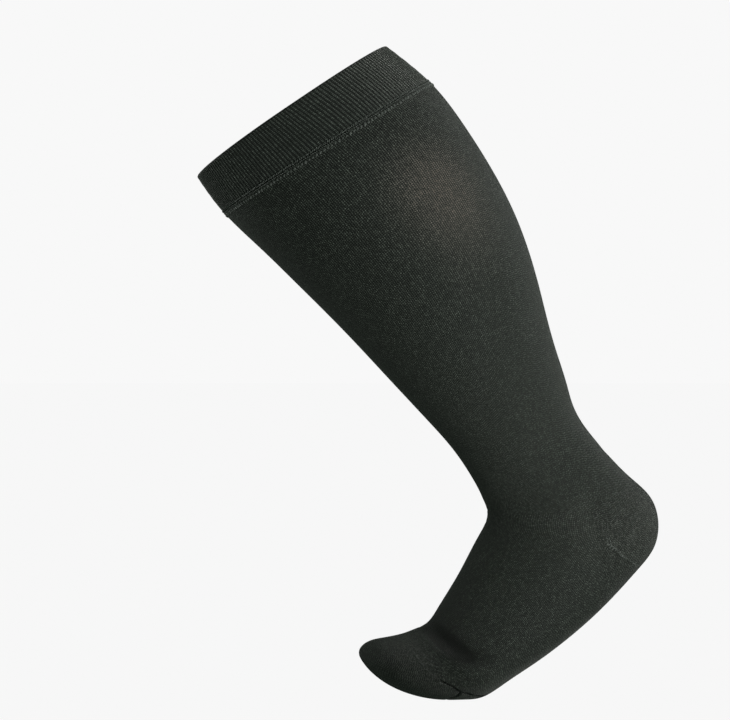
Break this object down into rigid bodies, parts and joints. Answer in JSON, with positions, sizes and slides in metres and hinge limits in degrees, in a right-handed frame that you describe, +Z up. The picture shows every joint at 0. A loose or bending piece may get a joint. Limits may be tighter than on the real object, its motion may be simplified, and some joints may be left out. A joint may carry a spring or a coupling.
{
  "type": "compression stocking",
  "caption": "Knee-high closed-toe compression stocking in its worn hollow form, heel raised and toes bent, with a ribbed top band, heel pocket and toe pocket.",
  "frame": {"origin": "centre of the top opening, in the plane of the ribbed band's rim, where the wearer's leg comes out", "axes": "+Z up as worn, toes towards -X and heel towards +X, the outer side of the left leg towards -Y"},
  "size_m": [0.3229, 0.1604, 0.4569],
  "materials": {
    "plain_knit": "matt charcoal plain knit of covered elastane, slightly sheer where stretched",
    "ribbed_knit": "matt charcoal ribbed double knit",
    "seam_thread": "charcoal sewing thread with a slight sheen"
  },
  "bodies": {
    "root": {"top_band": "ribbed_knit", "leg": "plain_knit", "heel_pocket": "plain_knit", "foot": "plain_knit", "toe_pocket": "plain_knit"}
  },
  "joints": []
}
